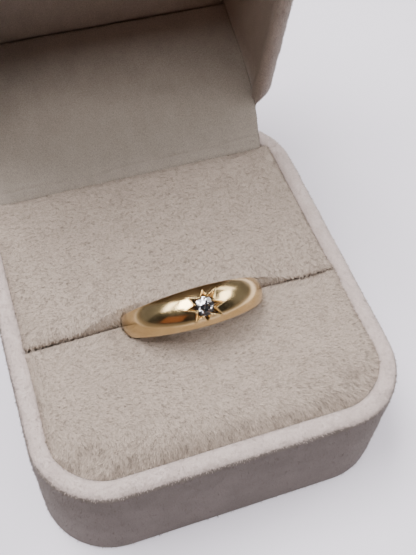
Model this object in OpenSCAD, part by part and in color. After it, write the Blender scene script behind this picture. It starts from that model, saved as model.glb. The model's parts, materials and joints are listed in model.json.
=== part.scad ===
/* [Box] */
// Width of the box, along the ring slot
box_w = 52; // [50:0.5:56]
// Depth of the box, front to back
box_d = 58.2; // [57:0.2:62]
// Radius of the upright corners
corner_r = 10.4; // [10:0.2:11]
// Height of the base
base_h = 19.4; // [18:0.2:20]
// Height of the lid
lid_h = 23; // [23:0.5:26]
// Thickness of the velvet covered walls
wall_t = 3; // [2.8:0.1:3.2]
// Thickness of the base's floor
floor_t = 2; // [1.6:0.2:2.4]
// How far the lid stands open
lid_open = 80; // [79:0.5:81]

/* [Pads and flap] */
// Distance of the slot in front of the box's middle
slot_front = 4.95; // [4:0.1:6]
// Height of the pads above the base's rim
pad_rise = 0.3; // [0:0.1:0.8]
// Rounding of the pads' outer top edge
pad_edge_r = 2.5; // [1.5:0.25:3]
// Distance of the rear pad's top edge behind the box's middle
crease_back = 21.4; // [21:0.1:21.6]
// Width of the hinge flap
flap_w = 44.4; // [42:0.2:44.6]
// Thickness of the hinge flap
flap_t = 1; // [0.8:0.05:1]

/* [Ring] */
// Diameter of the finger hole
finger_d = 17; // [16.6:0.1:17.2]
// Outside diameter of the band
band_d = 20.5; // [20.3:0.1:20.8]
// Width of the band at its back
back_w = 2.8; // [2.4:0.1:3.2]
// Width of the band at the stone
head_w = 5.35; // [5:0.05:5.5]
// Radius of the domed outside, across the band
dome_r = 2.89; // [2.85:0.01:3.1]
// How far the ring leans towards the front
ring_lean = 32.4; // [30:0.2:35]

/* [Stone and star] */
// Diameter of the round stone
stone_d = 2.55; // [2.3:0.05:2.6]
// Length of the star's rays from the stone's middle, along the band
ray_along = 2.8; // [2.5:0.05:2.9]
// Length of the star's rays across the band
ray_across = 2.3; // [2.1:0.05:2.35]
// Depth of a ray at the stone
ray_depth = 0.5; // [0.3:0.05:0.6]

/* [Hidden] */
$fn = 96;

VELVET = [0.77, 0.74, 0.70];
LINING = [0.62, 0.58, 0.54];
GOLD = [0.83, 0.66, 0.38];
STEEL = [0.70, 0.70, 0.72];
CLEAR = [0.90, 0.93, 0.97];

// Rims, hinge and clearances
rim_r = 1.3;
foot_r = 0.5;
rim_gap = 0.3;
soft_gap = 0.3;
lid_top_t = 1.5;
hinge_y = box_d / 2 + 0.05;
hinge_z = base_h + rim_gap / 2;
rod_r = 0.55;
rod_len = box_w - 2 * corner_r - 0.4;

// Lid panel and flap, measured in the lid from its mouth and from its rear face
panel_t = 1;
panel_gap = 0.2;
panel_depth = lid_h - lid_top_t - panel_gap - panel_t;
fold_depth = panel_depth - 0.45;
fold_lift = 5.45;
crease_z = base_h + 0.65;
crease_y = crease_back + soft_gap;
fold_dy = fold_depth * sin(lid_open) - fold_lift * cos(lid_open);
fold_dz = fold_depth * cos(lid_open) + fold_lift * sin(lid_open);
fold_y = hinge_y + fold_dy;
fold_z = hinge_z + fold_dz;
flap_slope = atan2(fold_z - crease_z, fold_y - crease_y);
flap_len = norm([fold_y - crease_y, fold_z - crease_z]);
slit_w = flap_w + 2 * soft_gap;
relief_w = box_w - 2 * corner_r + 3.8;
relief_lift = 1.2;

// Pads
pad_w = box_w - 2 * (wall_t + soft_gap);
pad_d = box_d - 2 * (wall_t + soft_gap);
pad_r = corner_r - wall_t - soft_gap;
pad_z = floor_t + 0.2;
pad_top = base_h + pad_rise;
ledge_z = base_h - 2;
slot_w = 0.3;
lens_half_len = 20;
lens_half_w = 1.9;
lens_r = (lens_half_len * lens_half_len + lens_half_w * lens_half_w) / (2 * lens_half_w);
lens_depth = 5;

// Ring: its frame has the outside circle's middle as origin, the stone on +Z and the band's width on Y
band_r = band_d / 2;
finger_r = finger_d / 2;
ring_pos = [0.7, -slot_front - 0.65, base_h + 0.7];
ring_yaw = 0.9;
head_turn = -1.9;
bore_drop = 0.69;
waist_z = -8.1;
waist_r = pow(band_r - waist_z, 2) / (head_w - back_w);
pocket_half_w = 2.05;
far = 60;

// Stone: proportions of a round brilliant, as shares of its radius
stone_r = stone_d / 2;
table_share = 0.57;
crown_slope = 34.5;
girdle_slope = 41;
star_slope = 20;
pavilion_slope = 41;
lower_slope = 43;
girdle_t = 0.08;
crown_h = stone_r * (1 - table_share) * tan(crown_slope);
table_z = band_r + 0.02;
girdle_z = table_z - crown_h - girdle_t;
seat_gap = 0.03;
ray_root = 1.1;
ray_half_w = 0.46;
ray_count = 8;
grain_r = 0.2;
grain_at = stone_r + grain_r + 0.04;

// Height of the domed outside over the ring's middle, at x along the band and y across it
function dome(x, y) =
    sqrt(pow(band_r - dome_r + sqrt(dome_r * dome_r - y * y), 2) - x * x);

// Outline of the box with its round corners
module plan(w, d, r) {
    square([w - 2 * r, d], center = true);
    square([w, d - 2 * r], center = true);
    for (sx = [-1, 1], sy = [-1, 1])
        translate([sx * (w / 2 - r), sy * (d / 2 - r)]) circle(r);
}

// Carries a section round the box's outline; the section's x runs inwards from the outer face
module around(w, d, r) {
    for (i = [0:3]) {
        along_x = i % 2 == 0;
        run = (along_x ? w : d) - 2 * r;
        out = (along_x ? d : w) / 2;
        rotate([0, 0, 90 * i]) {
            translate([-run / 2, -out, 0]) rotate([90, 0, 90]) linear_extrude(run) children();
            translate([run / 2, r - out, 0]) rotate([0, 0, -90]) rotate_extrude(angle = 90)
                translate([r, 0]) mirror([1, 0]) children();
        }
    }
}

// Section of a wall with a rounded foot and a rounded rim
module wall_section(h) {
    translate([0, foot_r]) square([wall_t, h - foot_r - rim_r]);
    translate([foot_r, 0]) square([wall_t - foot_r, h - rim_r]);
    translate([foot_r, foot_r]) circle(foot_r);
    translate([rim_r, foot_r]) square([wall_t - 2 * rim_r, h - foot_r]);
    translate([rim_r, h - rim_r]) circle(rim_r);
    translate([wall_t - rim_r, h - rim_r]) circle(rim_r);
}

// Open tray: walls and a floor
module tray(h, bottom_t) {
    around(box_w, box_d, corner_r) wall_section(h);
    linear_extrude(bottom_t) plan(box_w - 2 * foot_r, box_d - 2 * foot_r, corner_r - foot_r);
}

// Moves a piece drawn with the lid shut to where the open lid holds it
module opened() {
    translate([0, hinge_y, hinge_z]) rotate([-lid_open, 0, 0])
        translate([0, -hinge_y, -hinge_z]) children();
}

// Slab that follows the hinge flap, standing off its underside by under and its top by over
module flap_slab(w, under, over, ends) {
    translate([-w / 2, crease_y, crease_z]) rotate([flap_slope, 0, 0])
        translate([0, -ends, -flap_t - under])
            cube([w, flap_len + 2 * ends, flap_t + under + over]);
}

module base_shell() {
    color(VELVET) tray(base_h, floor_t);
}

module lid_shell() {
    color(VELVET) difference() {
        opened() translate([0, 0, base_h + rim_gap + lid_h]) mirror([0, 0, 1])
            tray(lid_h, lid_top_t);
        flap_slab(slit_w, soft_gap, soft_gap, 0.2);
        flap_slab(relief_w, soft_gap, relief_lift, 0.2);
    }
}

module lid_panel() {
    panel_w = pad_w;
    panel_d = pad_d;
    color(LINING) opened() translate([0, 0, base_h + rim_gap + panel_depth])
        linear_extrude(panel_t) plan(panel_w, panel_d, pad_r);
}

module hinge_flap() {
    color(LINING) flap_slab(flap_w, 0, 0, 0);
}

module hinge_rod() {
    color(STEEL) translate([0, hinge_y, hinge_z]) rotate([0, 90, 0])
        cylinder(r = rod_r, h = rod_len, center = true);
}

// Section of the pads' outer edge, rounded at the top
module pad_edge_section(h) {
    square([pad_edge_r, h - pad_edge_r]);
    intersection() {
        translate([pad_edge_r, h - pad_edge_r]) circle(pad_edge_r);
        square([pad_edge_r, h]);
    }
}

// The filling of the base before it is cut into two pads
module filling() {
    h = pad_top - pad_z;
    difference() {
        translate([0, 0, pad_z]) {
            around(pad_w, pad_d, pad_r) pad_edge_section(h);
            linear_extrude(h)
                plan(pad_w - 2 * pad_edge_r, pad_d - 2 * pad_edge_r, pad_r - pad_edge_r);
        }
        translate([-far / 2, crease_back, ledge_z]) cube([far, far, far]);
    }
}

module in_slot_frame() {
    translate([0, -slot_front, pad_top]) rotate([ring_lean, 0, 0]) children();
}

module in_ring_frame() {
    translate(ring_pos) rotate([ring_lean, 0, ring_yaw]) rotate([0, head_turn, 0]) children();
}

// Room that the ring takes up between the pads, and the parted lips of the slot
module ring_room() {
    in_ring_frame() rotate([90, 0, 0])
        cylinder(r = band_r + soft_gap, h = 2 * pocket_half_w, center = true);
    in_slot_frame() intersection() {
        translate([0, lens_r - lens_half_w, -lens_depth]) cylinder(r = lens_r, h = far);
        translate([0, lens_half_w - lens_r, -lens_depth]) cylinder(r = lens_r, h = far);
    }
}

module front_pad() {
    color(VELVET) difference() {
        filling();
        in_slot_frame() translate([-far, -slot_w / 2, -far]) cube(2 * far);
        ring_room();
    }
}

module rear_pad() {
    color(VELVET) difference() {
        filling();
        in_slot_frame() translate([-far, slot_w / 2 - 2 * far, -far]) cube(2 * far);
        ring_room();
    }
}

// Band before its hole, star and seat are cut: a domed hoop, narrower towards its back
module domed_hoop() {
    difference() {
        rotate([90, 0, 0]) rotate_extrude() intersection() {
            translate([band_r - dome_r, 0]) circle(dome_r);
            translate([finger_r - 2, -head_w]) square([band_r, 2 * head_w]);
        }
        for (side = [-1, 1])
            translate([0, side * (back_w / 2 + waist_r), waist_z]) rotate([0, 90, 0])
                cylinder(r = waist_r, h = far, center = true, $fn = 360);
    }
}

// One ray of the star: a tapering V cut that runs out on the domed surface
module star_ray(turn, reach) {
    tip = reach * [cos(turn), sin(turn)];
    root = ray_root * [cos(turn), sin(turn)];
    side = ray_half_w * [-sin(turn), cos(turn)];
    left = root + side;
    right = root - side;
    lift = 1;
    points = [
        [tip.x, tip.y, dome(tip.x, tip.y)],
        [left.x, left.y, dome(left.x, left.y)],
        [right.x, right.y, dome(right.x, right.y)],
        [root.x, root.y, dome(root.x, root.y) - ray_depth],
        [tip.x, tip.y, band_r + lift],
        [left.x, left.y, band_r + lift],
        [right.x, right.y, band_r + lift]
    ];
    polyhedron(points, [[4, 6, 5], [0, 4, 5, 1], [2, 6, 4, 0], [1, 5, 6, 2, 3], [0, 1, 3], [0, 3, 2]]);
}

module ring_band() {
    seat_r = stone_r + seat_gap;
    seat_tip = girdle_z - (stone_r + 2 * seat_gap) * tan(pavilion_slope) - 0.1;
    color(GOLD) in_ring_frame() {
        difference() {
            domed_hoop();
            translate([0, 0, -bore_drop]) rotate([90, 0, 0])
                cylinder(r = finger_r, h = far, center = true);
            translate([0, 0, girdle_z - seat_gap]) cylinder(r = seat_r, h = far);
            translate([0, 0, seat_tip])
                cylinder(r1 = 0.1, r2 = seat_r, h = girdle_z - seat_gap - seat_tip);
            for (i = [0:ray_count - 1]) {
                turn = 360 * i / ray_count;
                star_ray(turn, abs(cos(turn)) < 0.1 ? ray_across : ray_along);
            }
        }
        for (i = [0:ray_count - 1]) {
            turn = 360 * (i + 0.5) / ray_count;
            x = grain_at * cos(turn);
            y = grain_at * sin(turn);
            translate([x, y, dome(x, y) - grain_r / 3]) sphere(grain_r, $fn = 32);
        }
    }
}

// Eight facets that slope up to a point on the axis, from a circle of the given radius inside them
module facets_up(slope, inside_r, turn) {
    rotate([0, 0, turn])
        cylinder(r1 = inside_r / cos(22.5), r2 = 0, h = inside_r * tan(slope), $fn = 8);
}

module stone() {
    girdle_top = girdle_t / 2;
    star_r = stone_r * table_share + (crown_h + girdle_top) / tan(star_slope);
    below = 2 * stone_r;
    color(CLEAR) in_ring_frame() translate([0, 0, girdle_z + girdle_t / 2]) intersection() {
        translate([0, 0, -below]) cylinder(r = stone_r, h = below + girdle_top + crown_h);
        union() {
            translate([0, 0, girdle_top]) intersection() {
                facets_up(crown_slope, stone_r, 22.5);
                facets_up(girdle_slope, stone_r, 22.5 + 11.25);
                facets_up(girdle_slope, stone_r, 22.5 - 11.25);
                facets_up(star_slope, star_r, 0);
            }
            translate([0, 0, -girdle_top])
                cylinder(r = 2 * stone_r, h = girdle_t);
            translate([0, 0, -girdle_top]) mirror([0, 0, 1]) intersection() {
                facets_up(pavilion_slope, stone_r, 22.5);
                facets_up(lower_slope, stone_r, 22.5 + 11.25);
                facets_up(lower_slope, stone_r, 22.5 - 11.25);
            }
        }
    }
}

base_shell();
front_pad();
rear_pad();
hinge_flap();
lid_shell();
lid_panel();
hinge_rod();
ring_band();
stone();
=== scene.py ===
"""A star set gypsy ring standing in a pale velvet ring box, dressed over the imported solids."""

import json
import math

import bpy
import numpy as np
from mathutils import Matrix, Vector


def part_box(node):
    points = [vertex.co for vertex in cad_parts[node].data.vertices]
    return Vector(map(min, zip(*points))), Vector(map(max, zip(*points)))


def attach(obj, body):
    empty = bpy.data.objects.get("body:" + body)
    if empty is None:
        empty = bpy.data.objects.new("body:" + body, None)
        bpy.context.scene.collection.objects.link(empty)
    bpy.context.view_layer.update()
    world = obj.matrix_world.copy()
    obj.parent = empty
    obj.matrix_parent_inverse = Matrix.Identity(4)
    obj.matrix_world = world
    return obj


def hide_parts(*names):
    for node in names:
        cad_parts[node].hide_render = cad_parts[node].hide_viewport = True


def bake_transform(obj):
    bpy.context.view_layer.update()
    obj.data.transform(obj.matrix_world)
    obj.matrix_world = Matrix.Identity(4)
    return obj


bl_info = {
    "name": "Velvet Ring Box and Gypsy Ring",
    "version": (1, 0, 0),
    "blender": (4, 5, 0),
    "location": "View3D > Sidebar > Ring Box",
    "description": "Builds a star set gypsy ring in an open velvet ring box",
    "category": "Object",
}

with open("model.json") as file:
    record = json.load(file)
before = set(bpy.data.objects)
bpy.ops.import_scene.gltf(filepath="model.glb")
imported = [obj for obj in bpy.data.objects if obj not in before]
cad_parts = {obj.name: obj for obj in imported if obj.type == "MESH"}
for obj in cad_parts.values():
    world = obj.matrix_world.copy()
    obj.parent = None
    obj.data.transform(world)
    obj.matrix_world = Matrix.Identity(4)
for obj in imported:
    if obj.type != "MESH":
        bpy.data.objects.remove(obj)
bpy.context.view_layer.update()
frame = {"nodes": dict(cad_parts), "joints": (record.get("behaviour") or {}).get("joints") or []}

MM = 0.001
FOAM_SCALE = 10.0
FLAP_THICK = 0.95 * MM
COVER_COLUMNS = 420

PLAIN_LIGHT = (1.0, 0.975, 0.95)
WARM_LIGHT = (1.0, 0.36, 0.14)
# Soft boxes round the object: name, azimuth from the back to the right and height of the middle, width and
# height of the box, all in degrees, glow, colour
SOFT_BOXES = (
    ("left_box", -50, 49, 54, 11, 7.5, PLAIN_LIGHT),
    ("right_box", 92, 46, 38, 18, 8.5, PLAIN_LIGHT),
    ("back_box", 46, 35, 36, 14, 4.0, PLAIN_LIGHT),
    ("top_box", -66, 72, 40, 20, 17.5, PLAIN_LIGHT),
    ("front_box", 180, 71, 44, 14, 10.0, PLAIN_LIGHT),
    ("warm_box", -138, 17, 36, 26, 0.32, WARM_LIGHT),
)
# Where the strip that covers the rim laps over itself: from and to in the plan, and the seam's height, all in
# millimetres
LAPS = (((18.4, -26.3), (22.6, -25.6), 0.20), ((-22.0, -27.9), (-19.4, -26.2), 0.16))

# Places that come from the frame
HINGE = frame["joints"][0]
HINGE_AT = np.array(HINGE["pos_m"])
LID_OPEN = math.radians(HINGE["range_deg"][1])
SHELL_LOW, SHELL_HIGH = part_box("base_shell")
PAD_LOW, PAD_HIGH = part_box("front_pad")
REAR_LOW, REAR_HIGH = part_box("rear_pad")
FLAP_LOW, FLAP_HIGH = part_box("hinge_flap")
BOX_W = SHELL_HIGH.x - SHELL_LOW.x
BOX_D = SHELL_HIGH.y - SHELL_LOW.y
BASE_H = SHELL_HIGH.z
LID_MOUTH = 2 * HINGE_AT[2] - BASE_H


def number_setting(name, words, value, **more):
    """A setting that is one number."""
    return bpy.props.FloatProperty(name=name, description=words, default=value, **more)


def length_setting(name, words, value):
    return number_setting(name, words, value, unit="LENGTH")


def angle_setting(name, words, degrees):
    return number_setting(name, words, math.radians(degrees), unit="ROTATION")


def colour_setting(name, words, value, **more):
    """A setting of three numbers, a colour unless another form is given."""
    form = {"subtype": "COLOR", **more}
    return bpy.props.FloatVectorProperty(name=name, description=words, size=3, default=value, **form)


def place_setting(name, words, value):
    return colour_setting(name, words, value, subtype="XYZ", unit="LENGTH")


class BoxSettings(bpy.types.PropertyGroup):
    """Sizes of the box's covered shells, its flap and its lining."""

    corner: length_setting("Corner Radius", "Radius of the upright corners", 10.4 * MM)
    wall: length_setting("Wall", "Thickness of the velvet covered walls", 3.0 * MM)
    lid_wall: length_setting("Lid Rim", "Width of the lid's rolled rim", 2.65 * MM)
    lid_thin: length_setting("Lid Wall", "Thickness of the lid's wall behind its rim", 1.5 * MM)
    lid_rear: length_setting("Lid Rear Corners", "Radius of the lid's corners at the hinge", 6.6 * MM)
    rim: length_setting("Rim Rounding", "Rounding of the rims' edges", 1.3 * MM)
    foot: length_setting("Foot Rounding", "Rounding of the outer edge underneath", 0.5 * MM)
    floor: length_setting("Floor", "Thickness of the base's floor", 2.0 * MM)
    lid_height: length_setting("Lid Height", "Height of the lid when it is shut", 23.0 * MM)
    lid_top: length_setting("Lid Top", "Thickness of the lid's top", 1.5 * MM)
    crease: length_setting("Crease", "Distance of the flap's crease behind the box's middle", 21.4 * MM)


class PadSettings(bpy.types.PropertyGroup):
    """Sizes of the two plush pads and the slot between them."""

    slot: length_setting("Slot", "Distance of the slot in front of the box's middle", 4.95 * MM)
    top: length_setting("Pad Top", "Height of the pads' top face", BASE_H + 0.15 * MM)
    edge: length_setting("Edge Rounding", "Rounding of the pads' outer edge", 3.8 * MM)
    side: length_setting("Side Rounding", "Rounding of the pads' edge at the box's sides", 0.9 * MM)
    lip: length_setting("Front Lip", "Rounding of the front pad's edge at the slot", 0.35 * MM)
    rear_lip: length_setting("Rear Lip", "Rounding of the rear pad's edge at the slot", 0.6 * MM)
    opening: length_setting("Slot Depth", "Depth at which the slot's lips meet beside the ring", 1.6 * MM)
    crown: length_setting("Crown", "Swelling of the pads' middle", 0.25 * MM)


class RingSettings(bpy.types.PropertyGroup):
    """Sizes of the band, its star and how it stands in the slot."""

    outside: length_setting("Outside Radius", "Radius of the band's outside", 10.25 * MM)
    finger: length_setting("Finger Radius", "Radius of the finger hole", 8.5 * MM)
    drop: length_setting("Hole Drop", "Distance of the hole's middle from the outside's", 0.69 * MM)
    dome: length_setting("Dome Radius", "Radius of the domed outside, across the band", 2.89 * MM)
    back: length_setting("Back Width", "Width of the band at its back", 2.8 * MM)
    head: length_setting("Head Width", "Width of the band at the stone", 5.35 * MM)
    lean: angle_setting("Lean", "Lean of the ring towards the front", 32.4)
    yaw: angle_setting("Yaw", "Turn of the ring in the slot", 0.9)
    turn: angle_setting("Head Turn", "Turn of the stone towards the left", 1.9)
    edge: length_setting("Outer Edge", "Rounding of the band's outer edges", 0.38 * MM)
    inner_edge: length_setting("Inner Edge", "Rounding of the finger hole's edges", 0.28 * MM)
    ray_depth: length_setting("Ray Depth", "Depth of the star's rays at the stone", 0.62 * MM)


class VelvetSettings(bpy.types.PropertyGroup):
    """Colours and pile of the velvet."""

    pile: length_setting("Pile", "Length of the pile on the pads", 0.62 * MM)
    pad: colour_setting("Pad", "Colour of the pads' plush", (0.435, 0.360, 0.308))
    # Painted light: the rim's colour is lighter than the velvet's own, for the light that the rim catches.
    rim: colour_setting("Rim", "Colour of the rims' brushed velvet", (0.58, 0.49, 0.47))
    # Painted shade: the wall's colour is darker than the velvet's own, for the shade on the outer walls.
    wall: colour_setting("Wall", "Colour of the outer walls, whose pile hangs down", (0.185, 0.158, 0.145))
    # Painted light: the lid's colour is lighter than the pads' velvet, in place of light that the open lid's
    # hollow does not get.
    lid: colour_setting("Lid", "Colour of the lid's cover", (0.56, 0.485, 0.435))
    lining: colour_setting("Lining", "Colour of the flap and the lid's lining", (0.325, 0.283, 0.247))


class StageSettings(bpy.types.PropertyGroup):
    """Camera and lights."""

    camera_at: place_setting(
        "Camera", "Place of the camera", (-21.5165 * MM, -64.4293 * MM, BASE_H + 97.980 * MM))
    aim_at: place_setting("Aim", "Point in the middle of the picture", (4.7598 * MM, -0.8550 * MM, BASE_H))
    roll: angle_setting("Roll", "Turn of the camera about its own view", 4.175)
    lens: number_setting("Lens", "Focal length in millimetres on a 36 mm frame", 52.686)
    boxes: number_setting("Soft Boxes", "Brightness of all soft boxes", 1.0)
    dark_side: colour_setting(
        "Dark Side", "Direction of the unlit side of the room", (-0.295, -0.857, 0.423), subtype="DIRECTION")
    sky: number_setting("Sky", "Strength of the light from most of the room", 0.21)
    sky_front: number_setting("Front Sky", "Strength of the light from the unlit side", 0.03)


class RingBoxSettings(bpy.types.PropertyGroup):
    """All settings of the ring box."""

    box: bpy.props.PointerProperty(type=BoxSettings)
    pad: bpy.props.PointerProperty(type=PadSettings)
    ring: bpy.props.PointerProperty(type=RingSettings)
    velvet: bpy.props.PointerProperty(type=VelvetSettings)
    stage: bpy.props.PointerProperty(type=StageSettings)


def settings():
    return bpy.context.scene.ring_box


# Outlines, noise and meshes

def walk(corners, count):
    """Outline through rounded corners (x, y, radius) given anticlockwise from the front right one, as
    count points and outward normals. Each point is a corner's middle plus its radius along the
    normal; the normal turns a quarter at each corner, and middle and radius change in between."""
    c = np.array(corners, float)
    nxt = np.roll(c, -1, axis=0)
    first = -math.pi / 2
    knots = [0.0]
    rows = []
    for k, (here, after) in enumerate(zip(c, nxt)):
        a = first + k * math.pi / 2
        rows += [(*here, a), (*here, a + math.pi / 2)]
        knots.append(knots[-1] + max(here[2] * math.pi / 2, 1e-7))
        edge = np.array([math.cos(a + math.pi / 2), math.sin(a + math.pi / 2)])
        gap = (after[:2] + after[2] * edge) - (here[:2] + here[2] * edge)
        knots.append(knots[-1] + max(float(np.hypot(*gap)), 1e-7))
    rows.append((*c[0], first + 2 * math.pi))
    rows = np.array(rows)
    s = np.arange(count) / count * knots[-1]
    x, y, r, a = (np.interp(s, knots, rows[:, k]) for k in range(4))
    normal = np.stack([np.cos(a), np.sin(a)], 1)
    return np.stack([x, y], 1) + r[:, None] * normal, normal


def lumps(points, size, seed):
    """Soft noise from -1 to 1: random heights on a cubic lattice of the given cell size, eased
    between the lattice's corners."""
    table = np.random.default_rng(seed).uniform(-1, 1, (32, 32, 32))
    p = np.asarray(points) / size + 1000
    cell = np.floor(p).astype(int)
    f = p - cell
    f = f * f * (3 - 2 * f)
    total = np.zeros(p.shape[:-1])
    for corner in np.ndindex(2, 2, 2):
        k = (cell + corner) % 32
        weight = np.prod(np.where(np.array(corner) == 1, f, 1 - f), axis=-1)
        total += weight * table[k[..., 0], k[..., 1], k[..., 2]]
    return total


def put_mesh(name, points, quads=(), triangles=()):
    """A smooth mesh object from arrays of points, quads and triangles."""
    mesh = bpy.data.meshes.new(name)
    quads = np.asarray(quads, int).reshape(-1, 4)
    tri = np.asarray(triangles, int).reshape(-1, 3)
    mesh.vertices.add(len(points))
    mesh.vertices.foreach_set("co", np.asarray(points, np.float32).ravel())
    corners = np.concatenate([quads.ravel(), tri.ravel()])
    mesh.loops.add(len(corners))
    mesh.loops.foreach_set("vertex_index", corners.astype(np.int32))
    sizes = np.concatenate([np.full(len(quads), 4), np.full(len(tri), 3)])
    mesh.polygons.add(len(sizes))
    mesh.polygons.foreach_set("loop_start", (np.cumsum(sizes) - sizes).astype(np.int32))
    mesh.polygons.foreach_set("loop_total", sizes.astype(np.int32))
    mesh.polygons.foreach_set("use_smooth", np.full(len(sizes), True))
    mesh.update(calc_edges=True)
    mesh.validate()
    obj = bpy.data.objects.new(name, mesh)
    bpy.context.scene.collection.objects.link(obj)
    return obj


def hoop_faces(rows, columns, close_rows=False):
    """Quads between rows of points that each close on themselves; the last row joins the first one
    where close_rows is set."""
    here = np.arange(rows if close_rows else rows - 1)[:, None] * columns
    after = (here + columns) % (rows * columns)
    j = np.arange(columns)[None, :]
    j2 = (j + 1) % columns
    return np.stack([here + j, after + j, after + j2, here + j2], -1).reshape(-1, 4)


def capped(name, grid):
    """A closed mesh from rows that each close on themselves, with a fan over the first and last row."""
    rows, columns, _ = grid.shape
    points = np.concatenate([grid.reshape(-1, 3), grid[0].mean(0)[None], grid[-1].mean(0)[None]])
    j = np.arange(columns)
    j2 = (j + 1) % columns
    top = np.stack([np.full(columns, rows * columns), j, j2], 1)
    last = (rows - 1) * columns
    bottom = np.stack([np.full(columns, rows * columns + 1), last + j2, last + j], 1)
    return put_mesh(name, points, hoop_faces(rows, columns), np.concatenate([top, bottom]))


def hoops(line, normal, inset, z):
    """Rows that repeat an outline, moved inwards by each inset, at each height."""
    flat = line[None] - normal[None] * inset[:, None, None]
    return np.concatenate([flat, np.broadcast_to(z[:, None, None], (*flat.shape[:2], 1))], -1)


def plan(inset, front, rear):
    """Corners of the box's outline moved inwards, with the radii of the two front and the two rear ones."""
    corners = []
    for side, end in ((1, -1), (1, 1), (-1, 1), (-1, -1)):
        r = rear if end > 0 else front
        corners.append((side * (BOX_W / 2 - inset - r), end * (BOX_D / 2 - inset - r), r))
    return corners


def arc(start, end, count):
    """Angles in radians from one number of degrees to another."""
    return np.radians(np.linspace(start, end, count))


def eased(value):
    """Smooth step from 0 to 1."""
    t = np.clip(value, 0, 1)
    return t * t * (3 - 2 * t)


def bell(value, width):
    """Bell curve: 1 at the value 0, falling off over the width."""
    return np.exp(-(value / width) ** 2)


# Materials

def material(name):
    """A new node material, with its tree and its Principled shader."""
    mat = bpy.data.materials.new(name)
    mat.use_nodes = True
    tree = mat.node_tree
    return mat, tree, tree.nodes["Principled BSDF"]


def given(node, values):
    """Sets constants on a node's sockets."""
    for key, value in values.items():
        node.inputs[key].default_value = value
    return node


def object_place(tree):
    """Place in the object's own coordinates."""
    return tree.nodes.new("ShaderNodeTexCoord").outputs["Object"]


def object_height(tree):
    """Height in the object's own coordinates."""
    node = tree.nodes.new("ShaderNodeSeparateXYZ")
    tree.links.new(object_place(tree), node.inputs["Vector"])
    return node.outputs["Z"]


def marked(tree, name):
    """Value of a mesh's own attribute."""
    node = tree.nodes.new("ShaderNodeAttribute")
    node.attribute_name = name
    return node.outputs["Fac"]


def ranged(tree, value, low, high, start=0.0, end=1.0, ease=False):
    """A value between low and high, mapped to start and end and held there beyond them."""
    node = tree.nodes.new("ShaderNodeMapRange")
    given(node, {"From Min": low, "From Max": high, "To Min": start, "To Max": end})
    if ease:
        node.interpolation_type = "SMOOTHSTEP"
    tree.links.new(value, node.inputs["Value"])
    return node.outputs["Result"]


def noise(tree, size, stretch=(1, 1, 1), turn=(0, 0, 0), detail=3.0, roughness=0.55):
    """Noise over Object coordinates whose patches are about size metres across, stretched along an axis."""
    place = tree.nodes.new("ShaderNodeMapping")
    given(place, {"Scale": [1 / (size * s) for s in stretch], "Rotation": turn})
    tex = tree.nodes.new("ShaderNodeTexNoise")
    given(tex, {"Scale": 1.0, "Detail": detail, "Roughness": roughness})
    tree.links.new(object_place(tree), place.inputs["Vector"])
    tree.links.new(place.outputs["Vector"], tex.inputs["Vector"])
    return tex.outputs["Fac"]


def measured(tree, kind, place, fixed):
    """A number from a place or direction and a fixed one, such as their distance."""
    node = tree.nodes.new("ShaderNodeVectorMath")
    node.operation = kind
    node.inputs[1].default_value = fixed
    tree.links.new(place, node.inputs[0])
    return node.outputs["Value"]


def ramp(tree, value, stops):
    """Colour ramp through (position, colour) stops."""
    node = tree.nodes.new("ShaderNodeValToRGB")
    parts = node.color_ramp.elements
    while len(parts) < len(stops):
        parts.new(0.5)
    for part, (at, colour) in zip(parts, stops):
        part.position = at
        part.color = (*colour, 1)
    tree.links.new(value, node.inputs["Fac"])
    return node.outputs["Color"]


def mixed(tree, amount, a, b, kind="MIX"):
    """Mix of two colours, each a value or a socket, by an amount that is one too."""
    node = tree.nodes.new("ShaderNodeMix")
    node.data_type = "RGBA"
    node.blend_type = kind
    for index, value in ((0, amount), (6, a), (7, b)):
        if isinstance(value, bpy.types.NodeSocket):
            tree.links.new(value, node.inputs[index])
        else:
            node.inputs[index].default_value = value if index == 0 else (*value, 1)
    return node.outputs[2]


def times(tree, a, b):
    """Product of two colours."""
    return mixed(tree, 1.0, a, b, "MULTIPLY")


def bumped(tree, height, strength, distance, normal=None):
    """Normal of a surface with a height on it."""
    node = given(tree.nodes.new("ShaderNodeBump"), {"Strength": strength, "Distance": distance})
    tree.links.new(height, node.inputs["Height"])
    if normal is not None:
        tree.links.new(normal, node.inputs["Normal"])
    return node.outputs["Normal"]


def velvet(name, colour, lay=(1, 1, 1), turn=(0, 0, 0), sheen=0.04):
    """Matt velvet: fine grain stretched along the lay, brushed patches a few millimetres across, and a
    little sheen where the pile is seen from the side."""
    mat, tree, shader = material(name)
    pile = noise(tree, 0.14 * MM, lay, turn, 4.0, 0.7)
    brushed = noise(tree, 3.0 * MM, lay, turn, 4.0, 0.6)
    grain = ramp(tree, pile, [(0.33, [c * 0.62 for c in colour]), (0.62, [c * 0.92 for c in colour])])
    patches = ramp(tree, brushed, [(0.32, (0.93, 0.925, 0.92)), (0.66, (1.04, 1.04, 1.04))])
    tree.links.new(times(tree, grain, patches), shader.inputs["Base Color"])
    tree.links.new(bumped(tree, pile, 0.6, 0.08 * MM), shader.inputs["Normal"])
    matt(shader, sheen)
    return mat


def matt(shader, sheen):
    """Roughness and sheen of pile."""
    given(shader, {
        "Roughness": 0.95, "Specular IOR Level": 0.15, "Sheen Weight": sheen, "Sheen Roughness": 0.45,
        "Sheen Tint": (1.0, 0.96, 0.93, 1)})


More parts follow.
